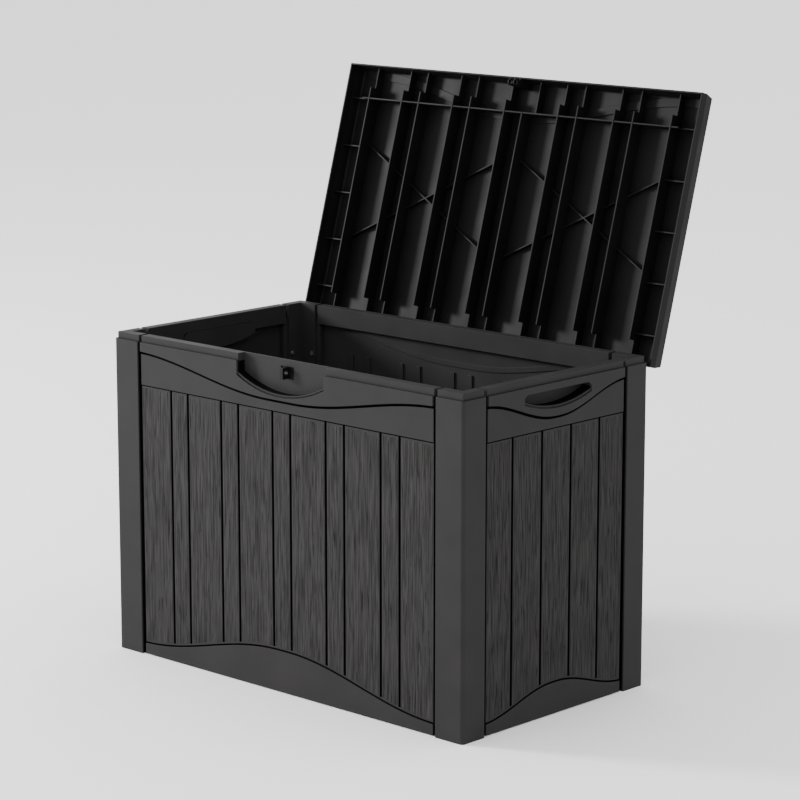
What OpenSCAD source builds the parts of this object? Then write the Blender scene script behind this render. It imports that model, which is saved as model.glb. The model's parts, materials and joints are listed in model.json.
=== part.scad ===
// Moulded resin storage bench: four corner posts, four wall panels, a floor
// and a ribbed lid on two pin hinges. The lid is drawn open, on its stop.
// +Z is up, the front faces -Y, and the origin is on the ground in the middle
// of the box. All sizes are in millimetres.

/* [Box] */
// Outside width over the posts
box_w = 720; // [640:5:900]
// Outside depth over the posts
box_d = 400; // [330:5:520]
// Height of the ledge that the lid closes down to
ledge_h = 490; // [400:5:600]

/* [Posts] */
// Width of a post seen from the front
post_w = 52; // [44:1:70]
// Width of a post seen from the side
post_d = 46; // [40:1:64]
// Wall of the hollow posts
post_t = 3; // [2.4:0.1:3.6]
// Radius of the posts' outer vertical edge
post_round = 5; // [2:0.5:5]
// Open groove between a post and a panel
joint_gap = 6; // [3:0.5:8]
// Thickness of a panel's tongue
tongue_t = 3; // [2:0.5:4]
// How far a tongue reaches into its post
tongue_reach = 14; // [12:1:18]
// Play between parts that slide together
slide_play = 0.3; // [0.2:0.05:0.5]

/* [Panels] */
// Thickness of a panel's skin
wall_t = 4; // [3:0.2:5]
// How far the smooth bands sit behind the posts
band_inset = 2; // [1:0.5:2.5]
// How far the planks sit behind the posts
plank_inset = 3; // [3:0.5:4]
// Height of the planks' upper edge below the ledge
band_drop = 65.5; // [60:0.5:80]
// Width of the narrow planks at the front
narrow_w = 36.9; // [30:0.1:50]
// Width of the wide planks at the front
wide_w = 72.2; // [60:0.1:100]
// Width of the planks at the sides
side_plank_w = 63; // [50:1:80]
// Width of the grooves between planks
plank_gap = 4.5; // [2:0.5:5]
// Depth of the grooves between planks
plank_gap_depth = 4.5; // [2.5:0.1:6]
// Width of the seam between the planks and the smooth band above them
band_seam_w = 1.8; // [1:0.1:3]
// Width of the seam between the planks and the plinth
plinth_seam_w = 2.6; // [1.5:0.1:4]
// Depth of these two seams behind the planks
seam_depth = 2.2; // [1:0.1:2.4]
// Wall left behind a groove that is deeper than the skin
groove_wall = 2; // [1.6:0.1:3]
// Gap between the ground and a panel
panel_foot = 1.5; // [1:0.5:4]

/* [Waves] */
// Lower edge of the apron groove below the ledge, beside the posts
wave_drop = 18; // [14:1:24]
// How far the apron groove sags at the middle
wave_sag = 34.5; // [25:0.5:36]
// Width of the apron groove
wave_w = 4; // [3:0.5:8]
// Depth of the apron groove behind the posts' faces
wave_depth = 6.5; // [5.5:0.1:7.5]
// Height of the plinth beside the posts
plinth_h = 17.5; // [12:0.5:24]
// Rise of the plinth at the middle of the front
plinth_rise_front = 46; // [30:1:60]
// Rise of the plinth at the middle of the sides
plinth_rise_side = 30; // [20:1:45]

/* [Rim] */
// Height of the raised rim above the ledge
rim_h = 10; // [8:0.5:12]
// How far the rim sits in from the outside faces
rim_inset = 3.6; // [3.4:0.1:5]
// Width of the rim's top
rim_w = 16; // [14:0.5:20]
// Thickness of the rim's top and of its inner flange
rim_t = 3; // [2.5:0.5:4]
// Width of the seam at the rim's foot
rim_seam_w = 1.2; // [0.8:0.1:1.6]
// Depth of the seam at the rim's foot
rim_seam_depth = 1.2; // [0.8:0.1:1.6]
// Height of the flange that stiffens the rim inside
flange_h = 30; // [24:1:40]

/* [Grips] */
// Half width of the scoop in the front
scoop_half = 90; // [70:1:110]
// Depth of the scoop below the ledge at its ends
scoop_shoulder = 22; // [20:1:28]
// How much deeper the scoop is in the middle
scoop_sag = 22; // [10:1:22]
// Half width of the side handles
grip_half = 73; // [60:1:90]
// Top of the side handles below the ledge
grip_drop = 10; // [8:1:12]
// Height of the side handles at their ends
grip_end_h = 14; // [10:1:16]
// How much deeper the side handles are in the middle
grip_sag = 13; // [8:1:14]
// Radius of the side handles' upper corners
grip_round = 9; // [6:0.5:12]
// How far the side handles run in
grip_depth = 20; // [16:1:30]
// Width of one step of the bead round a grip
bead_w = 2; // [1:0.5:2.5]
// Depth of one step of the bead round a grip
bead_depth = 1.5; // [1:0.1:2]

/* [Floor] */
// Height of the ledges that carry the floor
shelf_z = 21; // [18:1:30]
// Thickness of the floor
floor_t = 3.5; // [2.5:0.5:5]
// Bearing of the floor on each ledge
floor_bearing = 7; // [5:0.5:12]
// Height of the ribs under the floor
floor_rib_h = 12; // [6:1:14]
// Width of the foot under the middle of the floor
foot_w = 36; // [20:2:60]

/* [Lid] */
// Height of the lid's outside
lid_h = 33; // [30:1:40]
// Thickness of the lid's top
lid_t = 3; // [2.5:0.5:4]
// Thickness of the lid's skirt
skirt_t = 2.5; // [2:0.1:2.8]
// How far the skirt sits in from the outside faces
skirt_inset = 0.5; // [0.3:0.1:0.6]
// Gap between the closed lid and the ledge
lid_gap = 0.5; // [0.3:0.1:2]
// Height of the skirt's upright part
skirt_upright = 12; // [11:1:14]
// How far the skirt leans in above its upright part
skirt_lean = 3; // [1:0.5:5]
// Radius of the lid's upper edge
lid_round = 6; // [4:0.5:8]
// Angle that the lid opens to
open_angle = 106; // [95:1:110]
// Thickness of the ribs under the lid
rib_t = 2.2; // [1.5:0.1:3]
// Free edge of the long ribs above the skirt's lower edge
rib_rise = 3.5; // [2:0.5:6]
// Length of the ribs' shallow ends, which clear the rim
rib_notch = 36; // [33:1:45]
// Distance of the cross rib from the lid's front edge
cross_rib_d = 54; // [45:1:70]
// Spacing of the short ribs in the end bays
end_rib_pitch = 77; // [60:1:100]
// Height of the crossed braces
brace_h = 8; // [5:1:12]
// Distance of the braces' crossing from the lid's front edge
brace_d = 202; // [160:1:240]
// Reach of a crossed brace towards each side
brace_x = 144; // [110:1:150]
// Reach of a crossed brace towards front and back
brace_y = 75.5; // [60:0.5:110]
// Distance of the lid's wave groove from the front edge at its ends
lid_wave_d = 6.5; // [5:0.5:12]
// How far the lid's wave groove runs back at its middle
lid_wave_sag = 46; // [30:1:60]
// Width of the lid's wave groove
lid_wave_w = 13; // [6:1:16]

/* [Hinges] */
// Distance of a hinge's middle from the end of the box
hinge_from_end = 145; // [110:5:180]
// Radius of the hinge pins
pin_r = 2; // [1.5:0.1:2.5]
// Radial play between a pin and its knuckles
pin_play = 0.05; // [0.02:0.01:0.1]
// Wall of the knuckles round the pins
knuckle_wall = 2.45; // [2:0.05:3]
// Width of a hinge
hinge_w = 60; // [50:1:80]
// Width of the lid's knuckle in a hinge
lid_knuckle_w = 23.2; // [16:0.2:30]
// Thickness of the hinge leaves
leaf_t = 2.5; // [2:0.1:3]
// Drop of the hinge axis below the ledge
hinge_drop = 2.1; // [2:0.1:4]
// Length of the hinge leaf on the back panel below the axis
leaf_drop = 30; // [26:1:40]

/* [Lock] */
// Thickness of the padlock lug
lug_t = 6.6; // [4:0.2:8]
// Height of the padlock lug
lug_h = 17; // [15:0.5:21]
// Radius of the padlock hole
lock_hole_r = 3.5; // [2.5:0.25:3.5]
// Half width of the window in the scoop's wall that shows the lug's base
lug_window = 13; // [11:0.5:15]
// How far the lug's base sits back in this window
window_inset = 1.5; // [1:0.1:2]
// Height of the padlock hole's middle below the ledge
lock_drop = 8.2; // [7:0.1:9]
// Play between the lug and each of the lid's two ears
ear_play = 0.8; // [0.5:0.1:1.5]
// Thickness of the lid's two ears
ear_t = 2.4; // [2:0.2:4]

/* [Hidden] */
$fn = 48;

// Colours of the resin, of its shaded mouldings and of the steel
resin = "#3b3c3e";
dark_resin = "#2b2c2e";
steel = "#b9bbbd";

cut = 1;                 // how far a cutting shape runs past a face
wave_steps = 44;         // straight runs in a wave
arc_steps = 14;          // straight runs in a grip's lower edge
corner_steps = 6;        // straight runs in a grip's upper corner
min_plank = 20;          // narrowest plank left beside a post
groove_stop = 2.4;       // from a plank groove's end to the plinth's seam
gusset_t = 3;
screw_pilot_play = 0.05;
pilot_skin = 0.8;                        // left in front of the lug's pilot holes
screw_shank_r = 1.75;
screw_hole_r = 2.1;
screw_head_r = 3.6;
screw_head_h = 2;

rim_top = ledge_h + rim_h;
leg_t = rim_inset + rim_w;               // thickness of a post's two legs
skin_in = plank_inset + wall_t;          // inner face of a panel's skin
front_half = box_w / 2 - post_w - joint_gap;
side_half = box_d / 2 - post_d - joint_gap;
tongue_out = leg_t - post_t - slide_play - tongue_t;
tongue_in = tongue_out + tongue_t;
tongue_foot = 8;
tongue_top = ledge_h - 13;
shelf_in = leg_t + 0.6 + floor_bearing;
shelf_t = 3;
floor_play = 0.6;

// Heights of the screws that hold a tongue in its post
screw_z = [70, ledge_h / 2, ledge_h - 70];
screw_from_end = 7;                      // from the end of a post's leg

front_wave_flat = 25;
front_wave_over = 12;
side_wave_flat = 5;
side_wave_over = 8;
plinth_flat_front = 10;
plinth_flat_side = 5;
plinth_over = 7;

knuckle_r = pin_r + pin_play + knuckle_wall;
hinge_y = box_d / 2 + knuckle_r + 0.2;
hinge_z = ledge_h - hinge_drop;
hinge_x = box_w / 2 - hinge_from_end;
knuckle_gap = 0.4;
pad_half = hinge_w / 2 + 4;

lid_z = ledge_h + lid_gap;               // skirt's lower edge, lid closed
lid_half = box_w / 2 - skirt_inset;
lid_front = -box_d / 2 + skirt_inset;
rear_skirt_t = 3;
lid_back = hinge_y + knuckle_r + 0.8;
rib_notch_z = rim_top + 5;
hinge_notch_h = 3.5;
notch_play = 3.5;                        // room for the pins' heads
wave_under = 1.8;                        // depth of the lid's wave groove

pocket_t = 3;
scoop_depth = leg_t - rim_t;             // the rim's flange backs the scoop
lock_y = -box_d / 2 + 10.5;
lock_z = ledge_h - lock_drop;
lug_front = lid_front + skirt_t + 0.4;
lug_z = lock_z - 0.55 * lug_h;
lug_flange = lug_window + 9;
ear_round = 1.9;                         // material round the hole in an ear

// Bell curve: 1 within flat of the middle, 0 at reach and beyond
function bell(x, flat, reach) =
    (1 + cos(180 * min(1, max(0, (abs(x) - flat) / (reach - flat))))) / 2;

// Places of the front's plank grooves on the +X side
function half_grooves(half) =
    let (pitch = narrow_w + wide_w, n = ceil(half / pitch))
    [for (k = [0 : n], x = [narrow_w / 2 + k * pitch, narrow_w / 2 + k * pitch + wide_w])
        if (x < half - min_plank) x];

// Places of the sides' plank grooves on the +X side of a panel's own frame
function half_side_grooves(half) =
    [for (k = [0 : ceil(half / side_plank_w)])
        let (x = (k + 0.5) * side_plank_w)
        if (x < half - min_plank) x];

function both_ways(list) = [for (x = list, s = [-1, 1]) s * x];

function wave_low(x, flat, reach) = ledge_h - wave_drop - wave_sag * bell(x, flat, reach);

// Foot of a plank groove, a little above the plinth
function groove_low(x, half, rise, flat) =
    plinth_h + rise * bell(x, flat, half + plinth_over) + plinth_seam_w + groove_stop;

// Points at even steps along a panel, from -half to half
function along(half) = [for (i = [0 : wave_steps]) half * (2 * i / wave_steps - 1)];

// Outline of a grip: round upper corners, upright ends and a round lower edge,
// which is taken in by inset
module grip_outline(half, top, shoulder, sag, inset, corner = 0.5) {
    r = (half * half + sag * sag) / (2 * sag);
    low = shoulder - sag;
    ri = r - inset;
    round_end = [for (i = [0 : corner_steps]) let (a = 90 * i / corner_steps)
        [half - corner + corner * cos(a), top - corner + corner * sin(a)]];
    polygon(concat([for (i = [0 : arc_steps])
            let (x = half * (2 * i / arc_steps - 1)) [x, low + r - sqrt(ri * ri - x * x)]],
        round_end,
        [for (i = [corner_steps : -1 : 0]) [-round_end[i][0], round_end[i][1]]]));
}

// Turns a drawing in X and Z into a slab between two depths
module slab(y0, y1) {
    translate([0, y1, 0]) rotate([90, 0, 0]) linear_extrude(y1 - y0) children();
}

// Cuts a grip into a panel: two steps of bead, then the pocket
module grip_cut(half, top, shoulder, sag, depth, corner = 0.5) {
    slab(-cut, 2 * bead_depth) difference() {
        grip_outline(half, top, shoulder, sag, 0, corner);
        grip_outline(half, top, shoulder, sag, bead_w, corner);
    }
    slab(-cut, bead_depth) grip_outline(half, top, shoulder, sag, bead_w, corner);
    slab(-cut, depth) grip_outline(half, top, shoulder, sag, 2 * bead_w, corner);
}

// Screw with a round head, drawn along +Z from the face that it clamps
module screw(length) {
    translate([0, 0, -length]) cylinder(r = screw_shank_r, h = length + cut / 2);
    cylinder(r = screw_head_r, h = screw_head_h);
}

// Band between two heights above a wave, drawn through points of the wave
module wave_band(points, up0, up1) {
    polygon(concat([for (p = points) p + [0, up0]],
        [for (i = [len(points) - 1 : -1 : 0]) points[i] + [0, up1]]));
}

// A panel in its own frame: outer plane at y = 0, inside towards +Y
module wall_panel(half, flat, over, grooves, rise, plinth_flat) {
    reach = half + over;
    xs = along(half);
    wave = [for (x = xs) [x, wave_low(x, flat, reach)]];
    plinth = [for (x = xs) [x, plinth_h + rise * bell(x, plinth_flat, half + plinth_over)]];
    band_low = ledge_h - band_drop;
    plank_back = plank_inset + plank_gap_depth;
    difference() {
        union() {
            translate([-half, plank_inset, panel_foot])
                cube([2 * half, wall_t, ledge_h - panel_foot]);
            // Apron above the wave
            slab(0, skin_in) polygon(concat([[half, ledge_h], [-half, ledge_h]],
                [for (p = wave) p + [0, wave_w]]));
            // Smooth band between the wave and the planks
            slab(band_inset, skin_in)
                polygon(concat([[half, band_low], [-half, band_low]], wave));
            // Plinth
            slab(band_inset, skin_in)
                polygon(concat([[half, panel_foot], [-half, panel_foot]], plinth));
            // Walls behind the wave groove and behind the grooves between planks
            slab(skin_in - cut, wave_depth + groove_wall)
                wave_band(wave, -groove_wall, wave_w + groove_wall);
            for (x = grooves) {
                low = groove_low(x, half, rise, plinth_flat) - groove_wall;
                translate([x - plank_gap / 2 - groove_wall, skin_in - cut, low])
                    cube([plank_gap + 2 * groove_wall, plank_back + groove_wall - skin_in + cut,
                        band_low + groove_wall - low]);
            }
            panel_rim(half, grooves);
            panel_edges(half);
            panel_shelf(half, grooves);
        }
        slab(-cut, wave_depth) wave_band(wave, 0, wave_w);
        // Grooves between planks, and the seams above and below the planks
        for (x = grooves) {
            low = groove_low(x, half, rise, plinth_flat);
            translate([x - plank_gap / 2, -cut, low])
                cube([plank_gap, cut + plank_back, band_low - low]);
        }
        translate([-half - cut, -cut, band_low - band_seam_w])
            cube([2 * (half + cut), cut + plank_inset + seam_depth, band_seam_w]);
        slab(-cut, plank_inset + seam_depth) wave_band(plinth, 0, plinth_seam_w);
        translate([-half - cut, rim_inset - rim_seam_w, ledge_h - rim_seam_depth])
            cube([2 * (half + cut), rim_seam_w, rim_seam_depth + cut]);
        for (s = [-1, 1], z = screw_z)
            translate([s * (half + joint_gap + screw_from_end), tongue_in + cut, z])
                rotate([90, 0, 0])
                    cylinder(r = screw_shank_r + screw_pilot_play, h = tongue_t + 2 * cut);
    }
}

// Raised rim with its inner flange and gussets
module panel_rim(half, grooves) {
    translate([-half, rim_inset, ledge_h - cut])
        cube([2 * half, skin_in - rim_inset, rim_h + cut]);
    translate([-half, rim_inset, rim_top - rim_t]) cube([2 * half, rim_w, rim_t]);
    translate([-half, leg_t - rim_t, rim_top - flange_h]) cube([2 * half, rim_t, flange_h]);
    for (x = grooves) translate([x - gusset_t / 2, skin_in - cut, rim_top - flange_h])
        cube([gusset_t, leg_t - skin_in, flange_h - rim_t + cut]);
}

// Upright edge flanges and the tongues that slide into the posts
module panel_edges(half) {
    for (s = [0, 1]) mirror([s, 0, 0]) {
        translate([half - post_t, plank_inset, panel_foot])
            cube([post_t, tongue_in - plank_inset, ledge_h - panel_foot]);
        translate([half - post_t, rim_inset, ledge_h - cut])
            cube([post_t, rim_w, rim_h + cut]);
        translate([half - cut, tongue_out, tongue_foot])
            cube([cut + joint_gap + tongue_reach, tongue_t, tongue_top - tongue_foot]);
    }
}

// Ledge that carries the floor, on triangular gussets
module panel_shelf(half, grooves) {
    end = half - 2 * post_t;
    translate([-end, skin_in - cut, shelf_z - shelf_t])
        cube([2 * end, shelf_in - skin_in + cut, shelf_t]);
    for (x = grooves) translate([x - gusset_t / 2, 0, 0]) rotate([90, 0, 90])
        linear_extrude(gusset_t) polygon([[skin_in - cut, panel_foot + cut],
            [shelf_in, shelf_z - shelf_t + cut / 2], [skin_in - cut, shelf_z - shelf_t + cut / 2]]);
}

function floor_screw_xs(half) = [for (s = [-1, 1]) s * half * 0.6];

module shelf_pilots(half) {
    for (x = floor_screw_xs(half))
        translate([x, shelf_in - floor_bearing / 2, shelf_z - shelf_t - cut])
            cylinder(r = screw_shank_r + screw_pilot_play, h = shelf_t + 2 * cut);
}

module long_panel() {
    wall_panel(front_half, front_wave_flat, front_wave_over,
        both_ways(half_grooves(front_half)), plinth_rise_front, plinth_flat_front);
}

module short_panel() {
    difference() {
        union() {
            wall_panel(side_half, side_wave_flat, side_wave_over,
                both_ways(half_side_grooves(side_half)), plinth_rise_side, plinth_flat_side);
            slab(skin_in - cut, grip_depth + pocket_t)
                grip_outline(grip_half + pocket_t, ledge_h - grip_drop + pocket_t,
                    ledge_h - grip_drop - grip_end_h, grip_sag, bead_w - pocket_t, grip_round);
        }
        grip_cut(grip_half, ledge_h - grip_drop,
            ledge_h - grip_drop - grip_end_h, grip_sag, grip_depth, grip_round);
        shelf_pilots(side_half);
    }
}

module on_front() { translate([0, -box_d / 2, 0]) children(); }
module on_back() { rotate([0, 0, 180]) translate([0, -box_d / 2, 0]) children(); }
module on_left() { rotate([0, 0, -90]) translate([0, -box_w / 2, 0]) children(); }
module on_right() { rotate([0, 0, 90]) translate([0, -box_w / 2, 0]) children(); }

module front_panel() {
    shoulder = ledge_h - scoop_shoulder;
    color(resin) on_front() difference() {
        union() {
            long_panel();
            slab(skin_in - cut, leg_t)
                grip_outline(scoop_half + pocket_t, rim_top - rim_t + cut, shoulder, scoop_sag,
                    bead_w - pocket_t);
        }
        grip_cut(scoop_half, rim_top + 3 * bead_w, shoulder, scoop_sag, scoop_depth);
        // Window and pilot holes for the padlock lug
        translate([-lug_window - slide_play, scoop_depth - cut, lug_z - slide_play])
            cube([2 * (lug_window + slide_play), rim_t + 2 * cut, lug_h + 2 * slide_play]);
        for (s = [-1, 1])
            translate([s * lug_screw_x, leg_t + cut, lock_z]) rotate([90, 0, 0])
                cylinder(r = screw_shank_r + screw_pilot_play, h = rim_t - pilot_skin + cut);
        shelf_pilots(front_half);
    }
}

leaf_screw_x = 20;
leaf_screw_z = hinge_z - 16;

module back_panel() {
    color(resin) on_back() difference() {
        union() {
            long_panel();
            // Flush pads under the hinges
            for (s = [-1, 1]) translate([s * hinge_x - pad_half, 0, hinge_z - leaf_drop - 3])
                cube([2 * pad_half, skin_in, ledge_h - hinge_z + leaf_drop + 3]);
        }
        for (s = [-1, 1], t = [-1, 1])
            translate([s * hinge_x + t * leaf_screw_x, skin_in + cut, leaf_screw_z])
                rotate([90, 0, 0])
                    cylinder(r = screw_shank_r + screw_pilot_play, h = skin_in + 2 * cut);
        shelf_pilots(front_half);
    }
}

module left_panel() { color(resin) on_left() short_panel(); }
module right_panel() { color(resin) on_right() short_panel(); }

// Plan of a post: two legs, and the outer corner rounded
module post_plan(inset, wall, long, deep) {
    a = inset + wall;
    b = leg_t - wall;
    r = max(post_round - a, 0.5);
    difference() {
        union() {
            translate([a, a]) square([long - wall - a, b - a]);
            translate([a, a]) square([b - a, deep - wall - a]);
        }
        translate([a, a]) difference() {
            translate([-cut, -cut]) square(r + cut);
            translate([r, r]) circle(r);
        }
    }
}

// A post with its outer corner at the origin and its legs along +X and +Y
module post(long, deep) {
    difference() {
        union() {
            linear_extrude(ledge_h) post_plan(0, 0, long, deep);
            linear_extrude(rim_top) post_plan(rim_inset, 0, long, deep);
        }
        translate([0, 0, -cut]) linear_extrude(ledge_h - post_t + cut)
            post_plan(0, post_t, long, deep);
        linear_extrude(rim_top - rim_t) post_plan(rim_inset, post_t, long, deep);
        // Seam at the rim's foot
        translate([0, 0, ledge_h - rim_seam_depth]) linear_extrude(rim_seam_depth + cut)
            difference() {
                post_plan(rim_inset - rim_seam_w, 0, long + cut, deep + cut);
                post_plan(rim_inset, 0, long + 2 * cut, deep + 2 * cut);
            }
        // Slots for the tongues, open at the foot
        translate([long - post_t - cut, tongue_out - slide_play, -cut])
            cube([post_t + 2 * cut, tongue_t + 2 * slide_play, tongue_top + slide_play + cut]);
        translate([tongue_out - slide_play, deep - post_t - cut, -cut])
            cube([tongue_t + 2 * slide_play, post_t + 2 * cut, tongue_top + slide_play + cut]);
        for (z = screw_z) {
            translate([long - screw_from_end, leg_t + cut, z]) rotate([90, 0, 0])
                cylinder(r = screw_hole_r, h = post_t + 2 * cut);
            translate([leg_t - post_t - cut, deep - screw_from_end, z]) rotate([0, 90, 0])
                cylinder(r = screw_hole_r, h = post_t + 2 * cut);
        }
    }
}

// Places a child at one of the box's corners
module corner(sx, sy) {
    mirror([sx > 0 ? 1 : 0, 0, 0]) mirror([0, sy > 0 ? 1 : 0, 0])
        translate([-box_w / 2, -box_d / 2, 0]) children();
}

module corner_post(sx, sy) { color(resin) corner(sx, sy) post(post_w, post_d); }

module post_screws() {
    color(steel) for (sx = [-1, 1], sy = [-1, 1]) corner(sx, sy) for (z = screw_z) {
        translate([post_w - screw_from_end, leg_t, z]) rotate([-90, 0, 0])
            screw(post_t + slide_play + tongue_t + 1.5);
        translate([leg_t, post_d - screw_from_end, z]) rotate([0, 90, 0])
            screw(post_t + slide_play + tongue_t + 1.5);
    }
}

module floor_panel() {
    fx = box_w / 2 - leg_t - floor_play;
    fy = box_d / 2 - leg_t - floor_play;
    rx = box_w / 2 - shelf_in - 3;
    ry = box_d / 2 - shelf_in - 3;
    nx = 6;
    ny = 3;
    color(dark_resin) difference() {
        union() {
            translate([-fx, -fy, shelf_z]) cube([2 * fx, 2 * fy, floor_t]);
            for (i = [0 : nx]) translate([rx * (2 * i / nx - 1) - rib_t / 2, -ry, shelf_z - floor_rib_h])
                cube([rib_t, 2 * ry, floor_rib_h + cut]);
            for (j = [0 : ny]) translate([-rx, ry * (2 * j / ny - 1) - rib_t / 2, shelf_z - floor_rib_h])
                cube([2 * rx, rib_t, floor_rib_h + cut]);
            // Foot on crossed ribs
            translate([-foot_w / 2, -foot_w / 2, 0]) cube([foot_w, foot_w, shelf_t]);
            for (a = [0, 90]) rotate([0, 0, a]) translate([-foot_w / 2, -rib_t / 2, 0])
                cube([foot_w, rib_t, shelf_z + cut]);
        }
        at_floor_screws() translate([0, 0, -cut]) cylinder(r = screw_hole_r, h = floor_t + 2 * cut);
    }
}

module at_floor_screws() {
    place = shelf_in - floor_bearing / 2;
    on_front() for (x = floor_screw_xs(front_half)) translate([x, place, shelf_z]) children();
    on_back() for (x = floor_screw_xs(front_half)) translate([x, place, shelf_z]) children();
    on_left() for (x = floor_screw_xs(side_half)) translate([x, place, shelf_z]) children();
    on_right() for (x = floor_screw_xs(side_half)) translate([x, place, shelf_z]) children();
}

module floor_screws() {
    color(steel) at_floor_screws() translate([0, 0, floor_t]) screw(floor_t + shelf_t + 2);
}

// Swings a part drawn with the lid closed to the open lid's place
module swung_open() {
    translate([0, hinge_y, hinge_z]) rotate([-open_angle, 0, 0])
        translate([0, -hinge_y, -hinge_z]) children();
}

// Outer edge of the lid's section, from the skirt's foot to the flat top
function edge_points(inset, drop) =
    let (r = max(lid_round - inset, 1), n = 6, x = inset + skirt_lean, z = lid_h - drop)
    concat([[inset, inset > 0 ? -cut : 0], [inset, skirt_upright]],
        [for (i = [0 : n]) let (a = 90 * i / n) [x + r * (1 - cos(a)), z - r * (1 - sin(a))]]);

// Section between two ends, the second one the mirror of the first
function lid_section(a, b, inset, inset_b, drop) =
    concat([for (p = edge_points(inset, drop)) [a + p[0], p[1]]],
        let (q = edge_points(inset_b, drop))
        [for (i = [len(q) - 1 : -1 : 0]) [b - q[i][0], q[i][1]]]);

module lid_block(inset, inset_b, drop) {
    intersection() {
        rotate([90, 0, 90]) linear_extrude(box_w + 2 * cut, center = true)
            polygon(lid_section(lid_front, lid_back, inset, inset_b, drop));
        translate([0, (lid_front + lid_back) / 2, 0]) rotate([90, 0, 0])
            linear_extrude(lid_back - lid_front + 2 * cut, center = true)
                polygon(lid_section(-lid_half, lid_half, inset, inset, drop));
    }
}

rib_xs = half_grooves(lid_half - 20);
cross_y = lid_front + cross_rib_d;
rib_far = lid_back - rib_notch;
brace_bay = narrow_w / 2 + narrow_w + 1.5 * wide_w;
brace_y0 = lid_front + brace_d;
short_rib_x = narrow_w;

// Long rib from front to back, deeper between its two notches
module long_rib(x, y0) {
    top = lid_h - lid_t / 2;
    notch = rib_notch_z - lid_z;
    translate([x - rib_t / 2, y0, notch]) cube([rib_t, lid_back - y0, top - notch]);
    translate([x - rib_t / 2, max(y0, lid_front + rib_notch), rib_rise])
        cube([rib_t, rib_far - max(y0, lid_front + rib_notch), top - rib_rise]);
}

module lid_ribs() {
    cross_low = rib_rise + 0.5;
    top = lid_h - lid_t / 2;
    mid = narrow_w / 2;
    for (x = both_ways(rib_xs)) long_rib(x, x == mid ? cross_y : lid_front);
    // Short rib beside the ears
    translate([short_rib_x - rib_t / 2, lid_front, rib_notch_z - lid_z])
        cube([rib_t, cross_rib_d, top - rib_notch_z + lid_z]);
    // Cross rib, raised where it passes over the side rims
    translate([-lid_half + rib_notch, cross_y - rib_t / 2, cross_low])
        cube([2 * (lid_half - rib_notch), rib_t, top - cross_low]);
    translate([-lid_half, cross_y - rib_t / 2, rib_notch_z - lid_z])
        cube([2 * lid_half, rib_t, top - rib_notch_z + lid_z]);
    // Short ribs in the end bays
    for (s = [0, 1]) mirror([s, 0, 0]) for (k = [1 : 8])
        if (cross_y + k * end_rib_pitch < lid_back - 20)
            translate([rib_xs[len(rib_xs) - 1], cross_y + k * end_rib_pitch, rib_notch_z - lid_z])
                cube([lid_half - rib_xs[len(rib_xs) - 1], rib_t, top - rib_notch_z + lid_z]);
    // Crossed braces against the top
    for (s = [-1, 1], t = [-1, 1])
        translate([s * brace_bay, brace_y0, lid_h - lid_t - brace_h])
            rotate([0, 0, t * atan2(brace_y, brace_x)])
                translate([-norm([brace_x, brace_y]), -rib_t / 2, 0])
                    cube([2 * norm([brace_x, brace_y]), rib_t, brace_h + lid_t / 2]);
}

leaf_lid_screw_z = 8;

// Distance from the lid's front edge to its wave groove
function lid_wave(x) = lid_wave_d + lid_wave_sag * bell(x, 10, lid_half - 40);

// Band that follows the lid's wave, taken in by inset
module lid_wave_band(inset) {
    xs = along(lid_half - 22 - inset);
    polygon(concat([for (x = xs) [x, lid_front + lid_wave(x) + inset]],
        [for (i = [wave_steps : -1 : 0]) [xs[i], lid_front + lid_wave(xs[i]) + lid_wave_w - inset]]));
}

// Two ears that close on either side of the padlock lug, below the lid's edge
module lid_ears() {
    r = lock_hole_r + ear_round;
    hole = lock_z - lid_z;
    for (s = [0, 1]) mirror([s, 0, 0]) translate([lug_t / 2 + ear_play, 0, 0]) {
        translate([0, lock_y, hole]) rotate([0, 90, 0]) cylinder(r = r, h = ear_t);
        translate([0, lock_y - r, hole]) cube([ear_t, 2 * r, cut - hole]);
    }
}

// Webs that join the ears to the lid's skirt and top
module ear_webs() {
    depth = lock_y + lock_hole_r + ear_round - lid_front;
    for (s = [0, 1]) mirror([s, 0, 0])
        translate([lug_t / 2 + ear_play, lid_front, 0]) cube([ear_t, depth, lid_h - lid_t / 2]);
}

module lid_closed() {
    difference() {
        union() {
            difference() {
                lid_block(0, 0, 0);
                lid_block(skirt_t, rear_skirt_t, lid_t);
            }
            intersection() {
                lid_block(0, 0, 0);
                union() {
                    lid_ribs();
                    ear_webs();
                }
            }
            translate([0, 0, lid_h - lid_t - wave_under]) linear_extrude(wave_under + cut)
                lid_wave_band(0);
            lid_ears();
        }
        // Wave groove and plank lines on the top
        translate([0, 0, lid_h - wave_under]) linear_extrude(wave_under + cut) lid_wave_band(3);
        for (x = both_ways(rib_xs)) {
            from = lid_front + lid_wave(x) + lid_wave_w + 4;
            translate([x - plank_gap / 2, from, lid_h - 1.2])
                cube([plank_gap, lid_back - 24 - from, cut + 1.2]);
        }
        // Room for the hinge knuckles
        for (s = [-1, 1])
            translate([s * hinge_x - hinge_w / 2 - notch_play, lid_back - rear_skirt_t - cut, -cut])
                cube([hinge_w + 2 * notch_play, rear_skirt_t + 2 * cut, hinge_notch_h + cut]);
        translate([0, lock_y, lock_z - lid_z]) rotate([0, 90, 0])
            cylinder(r = lock_hole_r, h = 2 * lug_flange, center = true);
        for (s = [-1, 1], t = [-1, 1])
            translate([s * hinge_x + t * leaf_screw_x, lid_back - 0.5, leaf_lid_screw_z])
                rotate([90, 0, 0])
                    cylinder(r = screw_shank_r + screw_pilot_play, h = rear_skirt_t + cut);
    }
}

module lid() { color(dark_resin) swung_open() translate([0, 0, lid_z]) lid_closed(); }

lug_screw_x = lug_window + 5;

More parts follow.
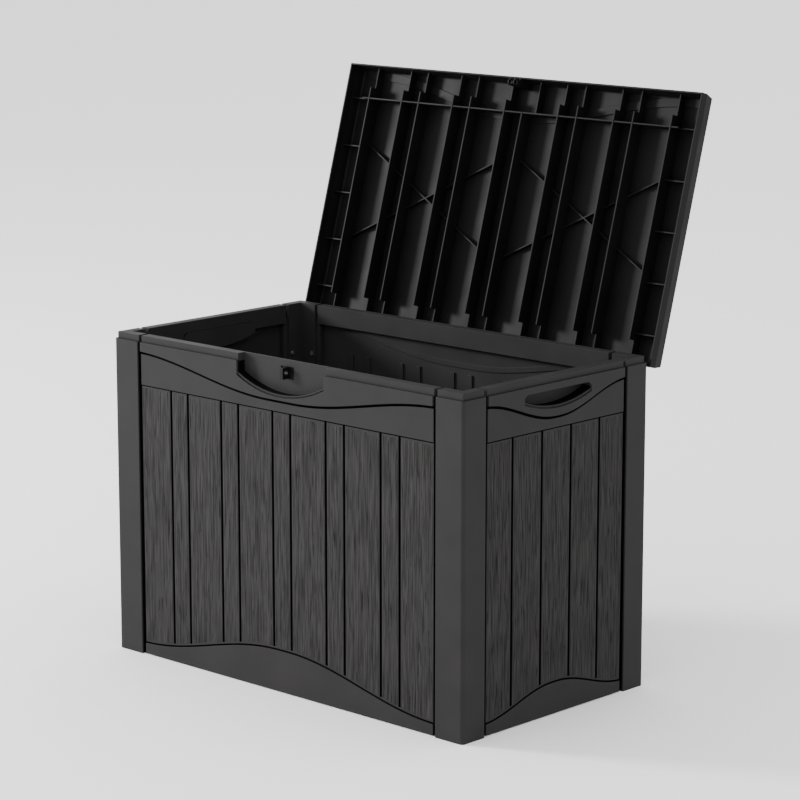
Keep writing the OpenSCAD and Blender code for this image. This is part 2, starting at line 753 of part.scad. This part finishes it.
// Lug on a base that fills the window, with a flange behind the scoop's wall
module lock_lug() {
    back = -box_d / 2 + leg_t;
    color(dark_resin) difference() {
        union() {
            translate([-lug_t / 2, lug_front, lug_z]) cube([lug_t, back - lug_front + cut, lug_h]);
            translate([-lug_window, back - rim_t + window_inset, lug_z])
                cube([2 * lug_window, rim_t - window_inset + cut, lug_h]);
            translate([-lug_flange, back, lug_z - 2]) cube([2 * lug_flange, leaf_t, lug_h + 3]);
        }
        translate([0, lock_y, lock_z]) rotate([0, 90, 0])
            cylinder(r = lock_hole_r, h = lug_t + 2 * cut, center = true);
        for (s = [-1, 1]) translate([s * lug_screw_x, back - cut, lock_z]) rotate([-90, 0, 0])
            cylinder(r = screw_hole_r, h = leaf_t + 2 * cut);
    }
}

module lock_screws() {
    color(steel) for (s = [-1, 1])
        translate([s * lug_screw_x, -box_d / 2 + leg_t + leaf_t, lock_z]) rotate([-90, 0, 0])
            screw(leaf_t + rim_t - pilot_skin - 0.3);
}

// Tube round the hinge axis between two places along it
module knuckle(x0, x1) {
    translate([x0, hinge_y, hinge_z]) rotate([0, 90, 0]) cylinder(r = knuckle_r, h = x1 - x0);
}

module pin_bore(x0, x1) {
    translate([x0, hinge_y, hinge_z]) rotate([0, 90, 0]) cylinder(r = pin_r + pin_play, h = x1 - x0);
}

// Leaf screwed to the back panel, with a knuckle at each end
module hinge_leaf_back(s) {
    mid = lid_knuckle_w / 2 + knuckle_gap;
    face = box_d / 2;
    color(dark_resin) translate([s * hinge_x, 0, 0]) difference() {
        union() {
            translate([-hinge_w / 2, face, hinge_z - leaf_drop]) cube([hinge_w, leaf_t, leaf_drop]);
            for (t = [0, 1]) mirror([t, 0, 0]) knuckle(mid, hinge_w / 2);
        }
        translate([-mid, face - cut, hinge_z - knuckle_r - 0.6])
            cube([2 * mid, leaf_t + 2 * cut, knuckle_r + 2 * cut]);
        pin_bore(-hinge_w / 2 - cut, hinge_w / 2 + cut);
        for (t = [-1, 1]) translate([t * leaf_screw_x, face - cut, leaf_screw_z]) rotate([-90, 0, 0])
            cylinder(r = screw_hole_r, h = leaf_t + 2 * cut);
    }
}

module hinge_back_screws() {
    color(steel) for (s = [-1, 1], t = [-1, 1])
        translate([s * hinge_x + t * leaf_screw_x, box_d / 2 + leaf_t, leaf_screw_z])
            rotate([-90, 0, 0]) screw(leaf_t + skin_in - 1);
}

// Leaf screwed inside the lid's rear skirt, with the middle knuckle and the
// heel that stops the lid against the other leaf
module hinge_leaf_lid(s) {
    back = lid_back - rear_skirt_t;
    half_k = lid_knuckle_w / 2;
    top = lid_z + skirt_upright - 0.2;
    stop_gap = 0.4;
    color(dark_resin) translate([s * hinge_x, 0, 0]) difference() {
        union() {
            swung_open() {
                translate([-half_k, back - leaf_t, hinge_z + pin_r + 1])
                    cube([lid_knuckle_w, leaf_t, top - hinge_z - pin_r - 1]);
                translate([-hinge_w / 2, back - leaf_t, hinge_z + knuckle_r + 1])
                    cube([hinge_w, leaf_t, top - hinge_z - knuckle_r - 1]);
            }
            knuckle(-half_k, half_k);
            translate([-half_k, box_d / 2 + leaf_t + stop_gap, hinge_z - knuckle_r - 4.9])
                cube([lid_knuckle_w, 4.1, 6]);
        }
        pin_bore(-half_k - cut, half_k + cut);
        swung_open() for (t = [-1, 1])
            translate([t * leaf_screw_x, back + cut, lid_z + leaf_lid_screw_z]) rotate([90, 0, 0])
                cylinder(r = screw_hole_r, h = leaf_t + 2 * cut);
    }
}

module hinge_lid_screws() {
    color(steel) swung_open() for (s = [-1, 1], t = [-1, 1])
        translate([s * hinge_x + t * leaf_screw_x, lid_back - rear_skirt_t - leaf_t,
                lid_z + leaf_lid_screw_z])
            rotate([90, 0, 0]) screw(leaf_t + rear_skirt_t - 0.7);
}

// Pin with a small head on its outer end
module hinge_pin(s) {
    color(steel) translate([s * hinge_x, hinge_y, hinge_z]) mirror([s < 0 ? 1 : 0, 0, 0])
        rotate([0, 90, 0]) {
            translate([0, 0, -hinge_w / 2 - 1]) cylinder(r = pin_r, h = hinge_w + 2);
            translate([0, 0, hinge_w / 2 + 0.5]) cylinder(r = pin_r + 1.2, h = 1.5);
        }
}

corner_post(-1, -1);  // post_front_left
corner_post(1, -1);  // post_front_right
corner_post(-1, 1);  // post_back_left
corner_post(1, 1);  // post_back_right
front_panel();
back_panel();
left_panel();
right_panel();
floor_panel();
lid();
lock_lug();
hinge_leaf_back(-1);  // hinge_leaf_back_left
hinge_leaf_back(1);  // hinge_leaf_back_right
hinge_leaf_lid(-1);  // hinge_leaf_lid_left
hinge_leaf_lid(1);  // hinge_leaf_lid_right
hinge_pin(-1);  // hinge_pin_left
hinge_pin(1);  // hinge_pin_right
post_screws();
floor_screws();
hinge_back_screws();
hinge_lid_screws();
lock_screws();
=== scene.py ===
import json
import math

import bpy
import numpy as np
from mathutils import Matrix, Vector


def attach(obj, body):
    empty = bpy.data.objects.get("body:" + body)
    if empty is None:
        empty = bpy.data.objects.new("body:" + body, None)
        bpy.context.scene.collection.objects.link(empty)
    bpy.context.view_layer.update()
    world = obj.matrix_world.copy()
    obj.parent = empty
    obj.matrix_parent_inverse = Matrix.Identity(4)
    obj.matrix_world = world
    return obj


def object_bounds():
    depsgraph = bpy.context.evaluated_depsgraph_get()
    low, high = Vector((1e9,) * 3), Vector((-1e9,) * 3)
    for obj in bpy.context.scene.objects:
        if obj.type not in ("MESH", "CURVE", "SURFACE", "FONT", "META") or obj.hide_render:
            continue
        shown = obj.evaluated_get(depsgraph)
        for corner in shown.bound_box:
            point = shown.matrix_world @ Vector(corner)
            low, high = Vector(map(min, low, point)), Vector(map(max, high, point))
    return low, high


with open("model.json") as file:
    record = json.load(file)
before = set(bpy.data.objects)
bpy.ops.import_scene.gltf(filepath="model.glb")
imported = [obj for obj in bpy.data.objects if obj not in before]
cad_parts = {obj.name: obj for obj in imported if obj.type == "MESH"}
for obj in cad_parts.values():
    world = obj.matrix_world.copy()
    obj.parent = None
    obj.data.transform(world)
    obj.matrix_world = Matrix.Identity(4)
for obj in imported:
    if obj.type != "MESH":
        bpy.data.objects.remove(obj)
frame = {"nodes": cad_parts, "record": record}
cadLow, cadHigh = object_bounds()
print("frame loaded:", len(frame["nodes"]), "CAD nodes")

mm = 0.001
halfWide, halfDeep = cadHigh[0], -cadLow[1]      # half width and half depth of the box, in metres


def linear(hexColour):
    # sRGB hex to the linear colour that a shader socket takes
    value = hexColour.lstrip("#")
    parts = [int(value[i:i + 2], 16) / 255 for i in (0, 2, 4)]
    return [p / 12.92 if p <= 0.04045 else ((p + 0.055) / 1.055) ** 2.4 for p in parts] + [1.0]


def addNode(tree, kind, settings=None, links=None):
    # settings and links go to sockets by name or number, other settings to the node's own properties
    node = tree.nodes.new(kind)
    for name, value in (settings or {}).items():
        if isinstance(name, int) or name in node.inputs:
            node.inputs[name].default_value = value
        else:
            setattr(node, name, value)
    for name, output in (links or {}).items():
        tree.links.new(output, node.inputs[name])
    return node


def calculate(tree, operation, *values):
    # one Math node; each value is a number or another node's output
    settings = {"operation": operation}
    links = {}
    for i, value in enumerate(values):
        (settings if isinstance(value, (int, float)) else links)[i] = value
    return addNode(tree, "ShaderNodeMath", settings, links).outputs[0]


def ramp(tree, value, low, high):
    # 0 below low, 1 above high, smooth between them
    settings = {"interpolation_type": "SMOOTHSTEP", "From Min": low, "From Max": high}
    return addNode(tree, "ShaderNodeMapRange", settings, {"Value": value}).outputs[0]


def smooth(t):
    # 3t^2 - 2t^3 between 0 and 1
    t = np.clip(t, 0, 1)
    return t * t * (3 - 2 * t)


def bell(x, flat, reach):
    # 1 within flat of the middle, half a cosine down to 0 at reach
    return (1 + np.cos(np.pi * np.clip((np.abs(x) - flat) / (reach - flat), 0, 1))) / 2


def latticeNoise(u, v, cellU, cellV, seed):
    # random heights on a lattice of cellU by cellV, blended smoothly between its points; the
    # lattice repeats after "size" cells
    size = 257
    field = np.random.default_rng(seed).random((size, size))
    s, t = u / cellU, v / cellV
    i, j = np.floor(s).astype(int), np.floor(t).astype(int)
    a, b = smooth(s - i), smooth(t - j)
    i0, j0, i1, j1 = i % size, j % size, (i + 1) % size, (j + 1) % size
    low = field[i0, j0] * (1 - a) + field[i1, j0] * a
    high = field[i0, j1] * (1 - a) + field[i1, j1] * a
    return (low * (1 - b) + high * b) * 2 - 1


def gridMesh(name, grids):
    # each grid[i, j] is a sheet of places; each cell becomes one quad facing di x dj
    places, quads, count = [], [], 0
    for grid in grids:
        index = count + np.arange(grid[..., 0].size).reshape(grid.shape[:2])
        corners = [index[:-1, :-1], index[1:, :-1], index[1:, 1:], index[:-1, 1:]]
        quads.append(np.stack(corners, -1).reshape(-1, 4))
        places.append(grid.reshape(-1, 3))
        count += index.size
    places, quads = np.concatenate(places), np.concatenate(quads)
    mesh = bpy.data.meshes.new(name)
    mesh.vertices.add(count)
    mesh.vertices.foreach_set("co", places.ravel().astype(np.float32))
    mesh.loops.add(quads.size)
    mesh.loops.foreach_set("vertex_index", quads.ravel().astype(np.int32))
    mesh.polygons.add(len(quads))
    mesh.polygons.foreach_set("loop_start", np.arange(0, quads.size, 4, dtype=np.int32))
    mesh.polygons.foreach_set("use_smooth", np.ones(len(quads), bool))
    mesh.update()
    piece = bpy.data.objects.new(name, mesh)
    bpy.context.scene.collection.objects.link(piece)
    return piece


camera = {
    "place": (3.0550, -3.1755, 1.3035),
    "turn": 43.41,       # degrees round from straight in front
    "tilt": 11.42,       # degrees below the horizon
    "lens": 134.97,      # mm, on a 36 mm sensor
}

eye = bpy.data.cameras.new("camera")
eye.lens = camera["lens"]
eye.sensor_width = 36
eye.clip_end = 100
eyeObject = bpy.data.objects.new("camera", eye)
eyeObject.location = camera["place"]
eyeObject.rotation_euler = (math.radians(90 - camera["tilt"]), 0, math.radians(camera["turn"]))
bpy.context.scene.collection.objects.link(eyeObject)
bpy.context.scene.camera = eyeObject
print("camera set")


def allOf(tree, *values):
    # product of masks: 1 only where all of them are
    product = values[0]
    for value in values[1:]:
        product = calculate(tree, "MULTIPLY", product, value)
    return product


def panelShadeMask(tree, parts, ax, ay, depth, paintedShade):
    # where the painted shade goes on a panel: 1 in its grooves, at its ends in the joints and on its
    # grips' side walls, and 0 on its inner faces and on the flat wall behind a grip
    coordinates = addNode(tree, "ShaderNodeTexCoord")
    normal = addNode(tree, "ShaderNodeSeparateXYZ", {}, {"Vector": coordinates.outputs["Normal"]})
    axis = {"x": 0, "y": 1}[paintedShade["facing"]]
    along = ay if paintedShade["facing"] == "x" else ax
    outward = calculate(tree, "MULTIPLY", normal.outputs[axis],
                        calculate(tree, "SIGN", parts.outputs[axis]))
    front = calculate(tree, "GREATER_THAN", outward, 0.5)
    notBack = calculate(tree, "GREATER_THAN", outward, -0.4)
    # the grip's lower edge rises with the square of the distance from the middle
    curve = paintedShade["gripRise"] / (paintedShade["gripReach"] ** 2 * mm)
    rise = calculate(tree, "MULTIPLY", calculate(tree, "POWER", along, 2.0), curve)
    gripEdge = calculate(tree, "ADD", rise, paintedShade["gripLow"] * mm)
    grip = allOf(tree, calculate(tree, "GREATER_THAN", parts.outputs[2], gripEdge),
                 calculate(tree, "LESS_THAN", along, paintedShade["gripHalf"] * mm))
    gripWall = allOf(tree, calculate(tree, "GREATER_THAN", normal.outputs[2], -0.3),
                     calculate(tree, "SUBTRACT", 1.0, front))
    groove = calculate(tree, "MAXIMUM", calculate(tree, "LESS_THAN", depth, paintedShade["skin"] * mm), front)
    groove = calculate(tree, "MAXIMUM", groove,
                       calculate(tree, "GREATER_THAN", along, paintedShade["edge"] * mm))
    shadeArea = addNode(tree, "ShaderNodeMix", {}, {0: grip, 2: groove, 3: gripWall}).outputs[0]
    return allOf(tree, shadeArea, notBack)


def paintedShadeMask(tree, place, paintedShade):
    # painted shade: 1 inside the grooves, the joints and the grips' side walls, which lie deeper than "from"
    # behind the nearest outside face; the inner faces stay out of it
    parts = addNode(tree, "ShaderNodeSeparateXYZ", {}, {"Vector": place})
    ax = calculate(tree, "ABSOLUTE", parts.outputs[0])
    ay = calculate(tree, "ABSOLUTE", parts.outputs[1])
    height = parts.outputs[2]
    depth = calculate(tree, "MINIMUM", calculate(tree, "SUBTRACT", halfWide, ax),
                      calculate(tree, "SUBTRACT", halfDeep, ay))
    shadeMask = allOf(tree, ramp(tree, depth, paintedShade["from"] * mm, paintedShade["full"] * mm),
                 calculate(tree, "LESS_THAN", height, paintedShade["below"] * mm))
    if "to" in paintedShade:
        shadeMask = allOf(tree, shadeMask, calculate(tree, "LESS_THAN", depth, paintedShade["to"] * mm))
    if "facing" in paintedShade:
        shadeMask = allOf(tree, shadeMask, panelShadeMask(tree, parts, ax, ay, depth, paintedShade))
    # painted shade in the narrow seam round the rim's foot, just below the ledge
    near, far = paintedShade["rimSeam"]
    seam = allOf(tree, calculate(tree, "GREATER_THAN", depth, near * mm),
                 calculate(tree, "LESS_THAN", depth, far * mm),
                 calculate(tree, "LESS_THAN", height, paintedShade["ledge"] * mm),
                 calculate(tree, "GREATER_THAN", height, (paintedShade["ledge"] - paintedShade["seamDepth"]) * mm))
    return calculate(tree, "MAXIMUM", shadeMask, seam)


def satinFinish(name, look):
    # Satin surface of a moulded or plated piece. A fine texture breaks up the gloss, broad clouds
    # of lighter tone come from the way the melt or the zinc flowed, grooves, joints and grip walls get
    # painted shade in the base colour, and edges are softened by the radius that every real edge has.
    # Cloud, grit and edge sizes are in mm.
    material = bpy.data.materials.new(name)
    material.use_nodes = True
    tree = material.node_tree
    tree.nodes.clear()
    place = addNode(tree, "ShaderNodeTexCoord").outputs["Object"]
    clouds = addNode(tree, "ShaderNodeTexNoise", {"Scale": 1 / (look["cloud"] * mm), "Detail": 3.0},
                     {"Vector": place})
    grit = addNode(tree, "ShaderNodeTexNoise", {"Scale": 1 / (look["grit"] * mm), "Detail": 2.0},
                   {"Vector": place})
    noiseLow, noiseHigh = 0.3, 0.7          # most of a noise texture's values lie between these
    tone, spread = clouds.outputs[0], (noiseLow, noiseHigh)
    if "streak" in look:
        # grain lines: the pattern is squeezed across and drawn out along the plank
        squeeze = addNode(tree, "ShaderNodeMapping", {"Scale": look["streak"]}, {"Vector": place})
        lines = addNode(tree, "ShaderNodeTexNoise", {"Scale": 1.0, "Detail": 4.0, "Roughness": 0.6},
                        {"Vector": squeeze.outputs[0]})
        tone, spread = lines.outputs[0], look["spread"]
    colour = addNode(tree, "ShaderNodeValToRGB", {}, {"Fac": tone})
    for stop, position, key in zip(colour.color_ramp.elements, spread, ("dark", "light")):
        stop.position = position
        stop.color = linear(look[key])
    shade = colour.outputs[0]
    if "pore" in look:
        # short dark pores between the grain lines
        shift = addNode(tree, "ShaderNodeMapping", {"Location": (3.1, 1.7, 0.4), "Scale": look["poreScale"]},
                        {"Vector": place})
        pores = addNode(tree, "ShaderNodeTexNoise", {"Scale": 1.0, "Detail": 1.0},
                        {"Vector": shift.outputs[0]})
        shade = addNode(tree, "ShaderNodeMix", {"data_type": "RGBA", 7: linear(look["pore"])},
                        {0: ramp(tree, pores.outputs[0], *look["poreSpan"]), 6: shade}).outputs[2]
    span = {"From Min": noiseLow, "From Max": noiseHigh,
            "To Min": look["rough"] - 0.05, "To Max": look["rough"] + 0.06}
    rough = addNode(tree, "ShaderNodeMapRange", span, {"Value": clouds.outputs[0]}).outputs[0]
    # painted shade: where the shade mask is 1, the base colour is painted the near-black tone and the
    # surface goes fully rough
    if "paintedShade" in look:
        shadeMask = paintedShadeMask(tree, place, look["paintedShade"])
        shade = addNode(tree, "ShaderNodeMix", {"data_type": "RGBA", 7: linear(look["paintedShade"]["tone"])},
                        {0: shadeMask, 6: shade}).outputs[2]
        rough = calculate(tree, "MAXIMUM", rough, shadeMask)
    soft = addNode(tree, "ShaderNodeBevel", {"samples": 4, "Radius": look["edge"] * mm})
    normal = addNode(tree, "ShaderNodeBump", {"Strength": 0.5, "Distance": look["gritDepth"] * mm},
                     {"Height": grit.outputs[0], "Normal": soft.outputs[0]}).outputs[0]
    if "streak" in look:
        normal = addNode(tree, "ShaderNodeBump", {"Strength": 0.6, "Distance": look["streakDepth"] * mm},
                         {"Height": lines.outputs[0], "Normal": normal}).outputs[0]
    settings = {"Metallic": look.get("metal", 0.0), "Specular IOR Level": look.get("shine", 0.5)}
    links = {"Base Color": shade, "Roughness": rough, "Normal": normal}
    if "ior" in look:
        settings["IOR"] = look["ior"]
    shader = addNode(tree, "ShaderNodeBsdfPrincipled", settings, links)
    addNode(tree, "ShaderNodeOutputMaterial", {}, {"Surface": shader.outputs[0]})
    return material


# polypropylene with a satin mould texture
smoothResin = {"dark": "#262526", "light": "#2a2929", "rough": 0.5, "ior": 1.49, "shine": 0.06, "cloud": 60,
               "grit": 0.8, "gritDepth": 0.03, "edge": 1.2}
# the same resin over the wood grain, drier looking, with lighter ridges and dark pores
grainResin = {"dark": "#1c1b1b", "light": "#313030", "spread": (0.38, 0.62), "rough": 0.58, "ior": 1.49,
              "shine": 0.06, "cloud": 60, "grit": 0.8, "gritDepth": 0.03, "edge": 0.4, "streakDepth": 0.15,
              "pore": "#111011", "poreSpan": (0.58, 0.7)}
# the lid is moulded in a darker and glossier shade
lidResin = {"dark": "#0d0d0e", "light": "#111112", "rough": 0.52, "ior": 1.49, "shine": 0.09, "cloud": 60,
            "grit": 0.8, "gritDepth": 0.02, "edge": 0.9}
nylon = {"dark": "#0b0b0c", "light": "#101011", "rough": 0.5, "ior": 1.53, "shine": 0.1, "cloud": 30,
         "grit": 0.6, "gritDepth": 0.02, "edge": 0.8}
# bright zinc: faint spangle in the roughness
zinc = {"dark": "#a8abae", "light": "#c4c7c9", "rough": 0.38, "cloud": 3,
        "grit": 0.5, "gritDepth": 0.02, "edge": 0.4, "metal": 1.0}

# Painted shadow in the resin's base colour, in mm: the colour is painted "tone" from "from" to "full"
# behind the outside face, no deeper than "to", and only below the rim. A panel's wall is "skin" deep and its
# ends begin at
# "edge". A grip's lower edge is at "gripLow" in the middle and "gripRise" higher at "gripReach".
paintedShadow = {"tone": "#020202", "below": 488.5, "rimSeam": (2.3, 3.7), "ledge": 489.9, "seamDepth": 2}
postPaintedShade = dict(paintedShadow, **{"from": 1.8, "full": 3.0, "to": 15.0})
panelPaintedShade = dict(paintedShadow, **{"from": 3.05, "full": 3.4, "skin": 7.05})
longPaintedShade = dict(panelPaintedShade, facing="y", edge=301.5, gripLow=444.3, gripHalf=92, gripRise=12, gripReach=90)
sidePaintedShade = dict(panelPaintedShade, facing="x", edge=147.5, gripLow=447.5, gripHalf=75, gripRise=13.5,
                  gripReach=73)

postResin = satinFinish("moulded polypropylene, posts", dict(smoothResin, paintedShade=postPaintedShade))
longResin = satinFinish("moulded polypropylene, long panels", dict(smoothResin, paintedShade=longPaintedShade))
sideResin = satinFinish("moulded polypropylene, side panels", dict(smoothResin, paintedShade=sidePaintedShade))
# streak scales are per metre along X, Y and Z: about 2 mm across the grain and 65 mm along it
wallGrain = satinFinish("grained polypropylene wall",
                         dict(grainResin, streak=(420, 420, 15), poreScale=(520, 520, 24)))
lidGrain = satinFinish("grained polypropylene lid",
                        dict(grainResin, streak=(420, 15, 420), poreScale=(520, 24, 520),
                             shine=0.1, dark="#0b0b0c", light="#1e1e1f", pore="#060606"))
darkResin = satinFinish("moulded polypropylene, lid", lidResin)
blackNylon = satinFinish("black nylon", nylon)
zincSteel = satinFinish("zinc plated steel", zinc)

finish = {
    "front_panel": longResin, "back_panel": longResin,
    "left_panel": sideResin, "right_panel": sideResin,
    "post_front_left": postResin, "post_front_right": postResin,
    "post_back_left": postResin, "post_back_right": postResin,
    "lid": darkResin, "floor_panel": darkResin,
}
slots = {part["node"]: part["material_slot"] for part in frame["record"]["subparts"]}
for name, node in frame["nodes"].items():
    node.data.materials.clear()
    node.data.materials.append(finish.get(name, zincSteel if slots[name] == "plated_steel" else blackNylon))
print("materials made")


planks = {
    "narrow": 36.9, "wide": 72.2,           # widths of the front's planks, groove to groove
    "sideWidth": 63.0,
    "gap": 4.5,                             # groove width
    "frontHalf": 302.0, "sideHalf": 148.0,  # half widths of the panels
    "top": 422.7,                           # the planks' upper edge
    "inset": 3.0,                           # behind the posts' faces
    "plinth": 17.5, "riseFront": 46.0, "riseSide": 30.0,
    "seam": 2.6,                            # seam above the plinth
    "flatFront": 10, "flatSide": 5,         # half width of the wave's level top
    "past": 7,                              # the wave runs on this far behind the posts
}

grain = {
    "fine": (2.4, 55), "broad": (6.5, 110), "pore": (3.6, 35),    # spacing across and along, mm
    "fineShare": 0.55, "broadShare": 0.45, "poreShare": 1.1,
    "poreFrom": 0.55,                       # only the noise's highest peaks are pores
    "relief": 0.30,                         # height of the lines
    "lift": 0.16,                           # their mean height above the plain face
    "sunk": 0.4,                            # depth of a sheet's rim under the plain face
    "edge": 0.8,                            # the grain fades out this far from an edge
    "stepAcross": 1.1, "stepAlong": 4.0,
    "shift": 400,                           # keeps the pattern's places above zero
}

lidTop = {
    "half": 349.0, "front": -199.5, "back": 186.0, "height": 523.5,    # the flat top, lid closed
    "waveNear": 6.5, "waveWidth": 17.0, "waveSag": 46.0, "waveFlat": 10, "waveReach": 319.5,
    "openAngle": 106.0, "hinge": (204.7, 487.9),
}


def grainHeight(u, v, seed):
    # sum of fine and broad lines, less sparse pores, which are the third noise's highest peaks
    fine = latticeNoise(u, v, *grain["fine"], seed)
    broad = latticeNoise(u, v, *grain["broad"], seed + 1)
    peaks = latticeNoise(u, v, *grain["pore"], seed + 2)
    pores = np.clip(peaks - grain["poreFrom"], 0, 1) / (1 - grain["poreFrom"])
    return grain["fineShare"] * fine + grain["broadShare"] * broad - grain["poreShare"] * pores


def grainSheet(u0, u1, bottom, top, seed):
    # one plank's sheet: its height is the grain, and near every edge it dips below the
    # plain face, so that it ends inside the moulding
    u = np.linspace(u0, u1, int((u1 - u0) / grain["stepAcross"]))
    low = bottom(u)
    t = np.linspace(0, 1, int((top - np.min(low)) / grain["stepAlong"]))
    u, t = np.meshgrid(u, t, indexing="ij")
    v = low[:, None] + t * (top - low[:, None])
    edge = np.minimum.reduce([u - u0, u1 - u, v - low[:, None], top - v])
    lines = grain["relief"] * grainHeight(u + grain["shift"], v, seed)
    h = smooth(edge / grain["edge"]) * (grain["sunk"] + grain["lift"] + lines) - grain["sunk"]
    return u, v, h


def grainSkin(name, grooves, gap, bottom, top, place, seed, material, body):
    # one sheet for each plank, between neighbouring grooves; place turns its u, v and height
    # into X, Y and Z
    grids = []
    for k, (a, b) in enumerate(zip(grooves[:-1], grooves[1:])):
        u, v, h = grainSheet(a + gap / 2, b - gap / 2, bottom, top, seed + 3 * k)
        grids.append(np.stack(place(u, v, h), -1) * mm)
    piece = gridMesh(name, grids)
    piece.data.materials.append(material)
    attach(piece, body)


def bothWays(values):
    # the same places on both sides of the middle
    return sorted([-v for v in values] + list(values))


def plinthTop(rise, flat, half):
    # the plinth's seam, which rises to the middle in a wave
    return lambda u: planks["plinth"] + planks["seam"] + rise * bell(u, flat, half + planks["past"])


def onLid(u, v, h):
    # closed place first, then swung back about the hinge
    hingeY, hingeZ = lidTop["hinge"]
    y = v - hingeY
    z = lidTop["height"] + h - hingeZ
    angle = math.radians(-lidTop["openAngle"])
    c, s = math.cos(angle), math.sin(angle)
    return u, hingeY + c * y - s * z, hingeZ + s * y + c * z


def lidStart(u):
    # the lid's planks begin behind its wavy front band
    return lidTop["front"] + lidTop["waveNear"] + lidTop["waveWidth"] + lidTop["waveSag"] * bell(
        u, lidTop["waveFlat"], lidTop["waveReach"])


half, gap = planks["narrow"] / 2, planks["gap"]
pitch = planks["narrow"] + planks["wide"]
inner = [half, half + planks["wide"], half + pitch, half + pitch + planks["wide"], half + 2 * pitch]
frontGrooves = bothWays(inner + [planks["frontHalf"] + gap / 2])
sideGrooves = bothWays([planks["sideWidth"] / 2, 1.5 * planks["sideWidth"], planks["sideHalf"] + gap / 2])
lidGrooves = bothWays(inner + [half + 2 * pitch + planks["wide"], lidTop["half"]])
faceFront = halfDeep / mm - planks["inset"]
faceSide = halfWide / mm - planks["inset"]
frontPlinth = plinthTop(planks["riseFront"], planks["flatFront"], planks["frontHalf"])
sidePlinth = plinthTop(planks["riseSide"], planks["flatSide"], planks["sideHalf"])
grainSkin("grain_front", frontGrooves, gap, frontPlinth, planks["top"],
          lambda u, v, h: (u, -(faceFront + h), v), 11, wallGrain, "box")
grainSkin("grain_back", frontGrooves, gap, frontPlinth, planks["top"],
          lambda u, v, h: (-u, faceFront + h, v), 71, wallGrain, "box")
grainSkin("grain_right", sideGrooves, gap, sidePlinth, planks["top"],
          lambda u, v, h: (faceSide + h, u, v), 131, wallGrain, "box")
grainSkin("grain_left", sideGrooves, gap, sidePlinth, planks["top"],
          lambda u, v, h: (-(faceSide + h), -u, v), 191, wallGrain, "box")
grainSkin("grain_lid", lidGrooves, gap, lidStart, lidTop["back"], onLid, 251, lidGrain, "lid")
print("plank grain made")


studio = {                                  # metres and watts
    "floorSize": 80.0,
    "floor": "#ffffff",
    "sky": "#ffffff", "skyStrength": 1.7,
    "keyPlace": (-4.2, -2.4, 1.9), "keyAim": (0, 0, 0.45), "keySize": (1.0, 1.0), "keyPower": 380,
}

side = np.array([-0.5, 0.5]) * studio["floorSize"]
floorX, floorY = np.meshgrid(side, side, indexing="ij")
floor = gridMesh("floor", [np.stack([floorX, floorY, np.zeros((2, 2))], -1)])
paper = bpy.data.materials.new("matt paper")
paper.use_nodes = True
paperShader = paper.node_tree.nodes["Principled BSDF"]
paperShader.inputs["Base Color"].default_value = linear(studio["floor"])
paperShader.inputs["Roughness"].default_value = 0.9
floor.data.materials.append(paper)

world = bpy.data.worlds.new("studio")
world.use_nodes = True
world.node_tree.nodes["Background"].inputs["Color"].default_value = linear(studio["sky"])
world.node_tree.nodes["Background"].inputs["Strength"].default_value = studio["skyStrength"]
bpy.context.scene.world = world


def softbox(name, place, aim, size, power):
    light = bpy.data.lights.new(name, "AREA")
    light.shape = "RECTANGLE"
    light.size, light.size_y = size
    light.energy = power
    lightObject = bpy.data.objects.new(name, light)
    lightObject.location = place
    lightObject.rotation_mode = "QUATERNION"
    lightObject.rotation_quaternion = (Vector(aim) - Vector(place)).to_track_quat("-Z", "Y")
    bpy.context.scene.collection.objects.link(lightObject)


softbox("key", studio["keyPlace"], studio["keyAim"], studio["keySize"], studio["keyPower"])
print("studio made")
